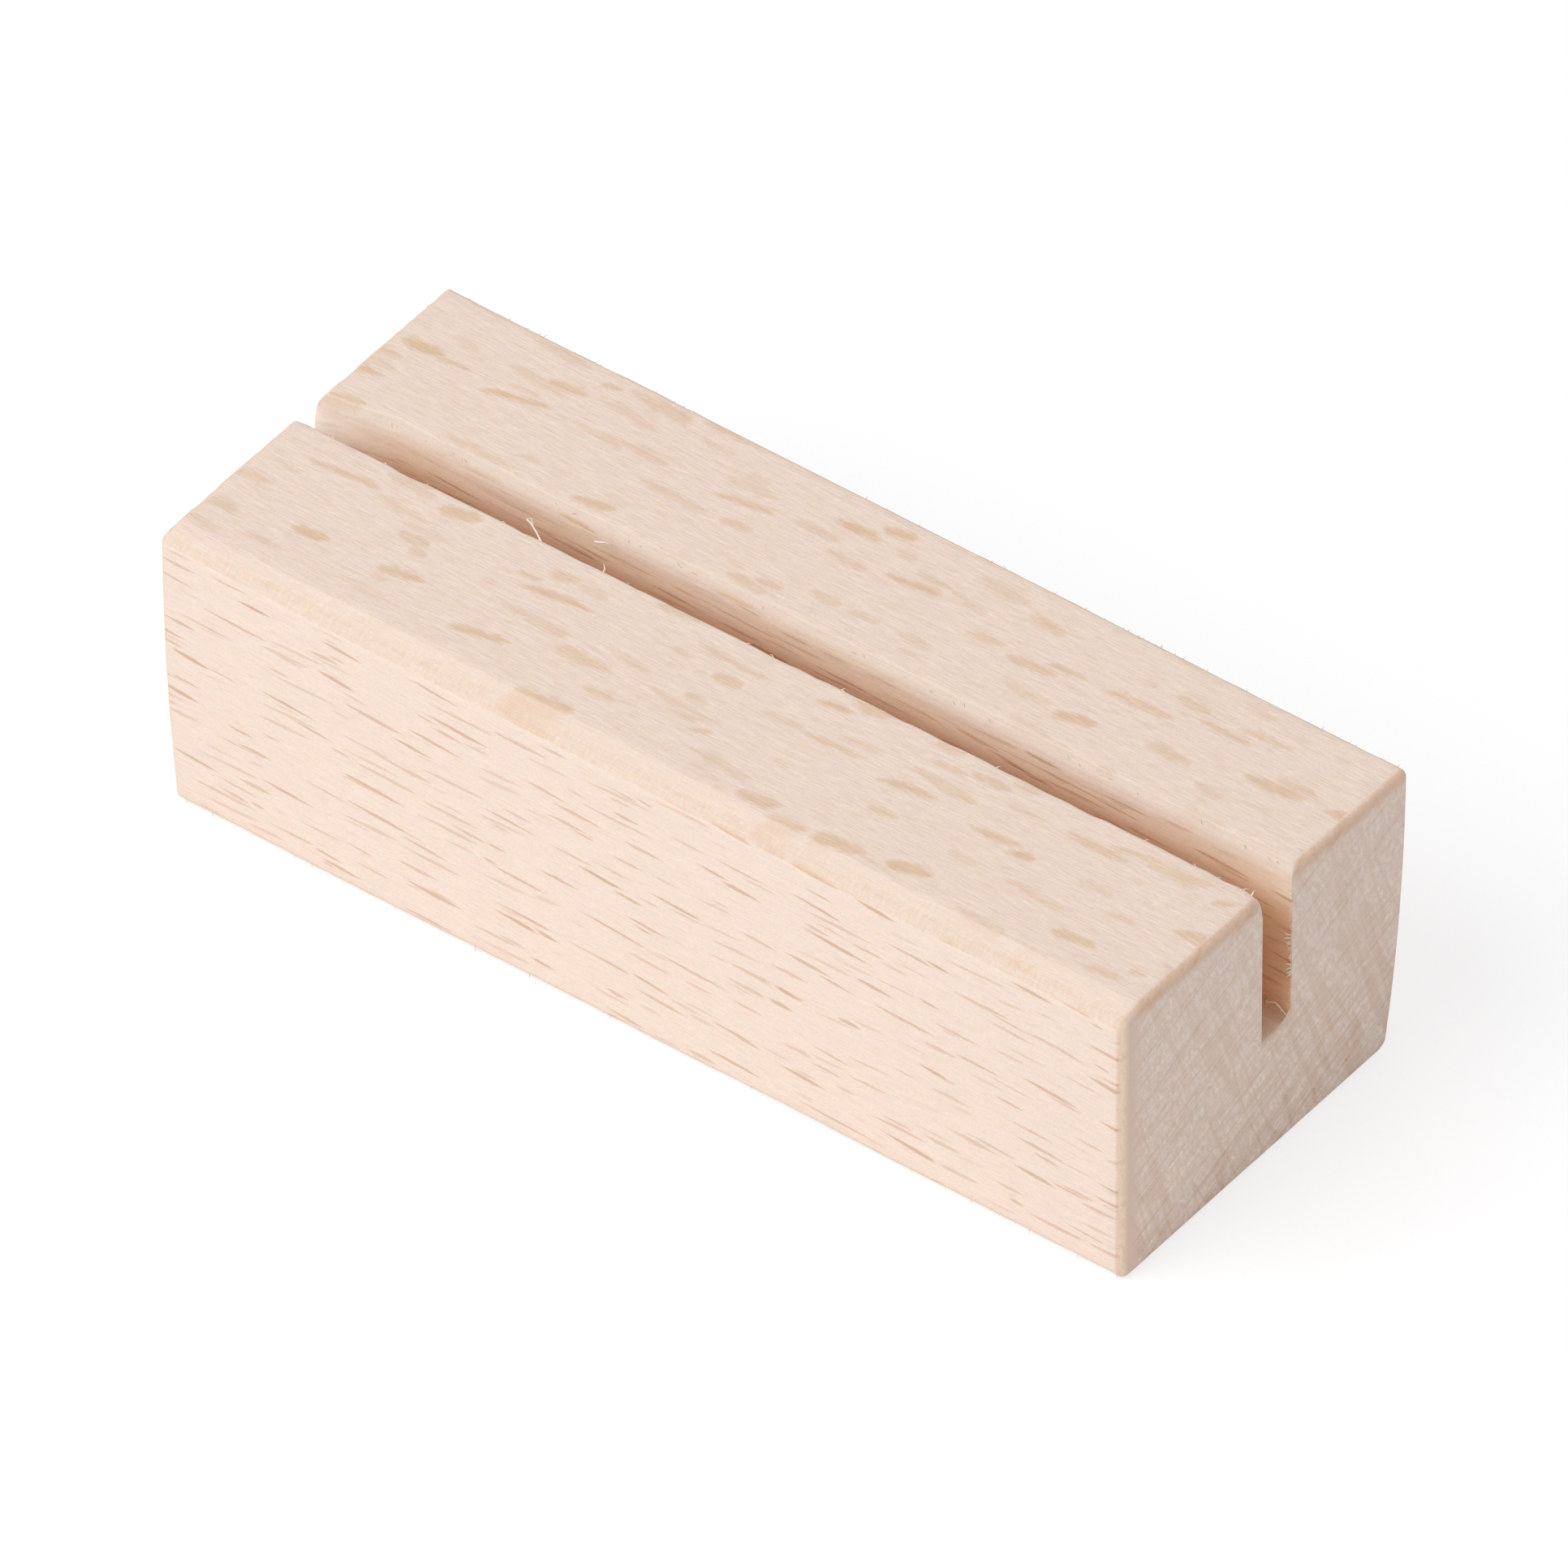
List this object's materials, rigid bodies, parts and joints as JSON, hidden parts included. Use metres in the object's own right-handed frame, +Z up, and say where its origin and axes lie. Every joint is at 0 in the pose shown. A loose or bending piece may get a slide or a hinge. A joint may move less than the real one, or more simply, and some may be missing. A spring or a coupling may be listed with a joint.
{
  "type": "photo block holder",
  "caption": "Solid beech block with eased arrises and a full-length slot in its top that holds a photo or card upright on a table or shelf.",
  "frame": {"origin": "on the resting face, below the middle of the block's box", "axes": "+Z up out of the slot's mouth, +X along the grain and the slot, -Y out of the plumb front face"},
  "size_m": [0.101, 0.0405, 0.0293],
  "materials": {
    "beech": "planed and sanded beech, bare, no varnish or oil"
  },
  "bodies": {
    "root": {"slotted_block": "beech"}
  },
  "joints": []
}
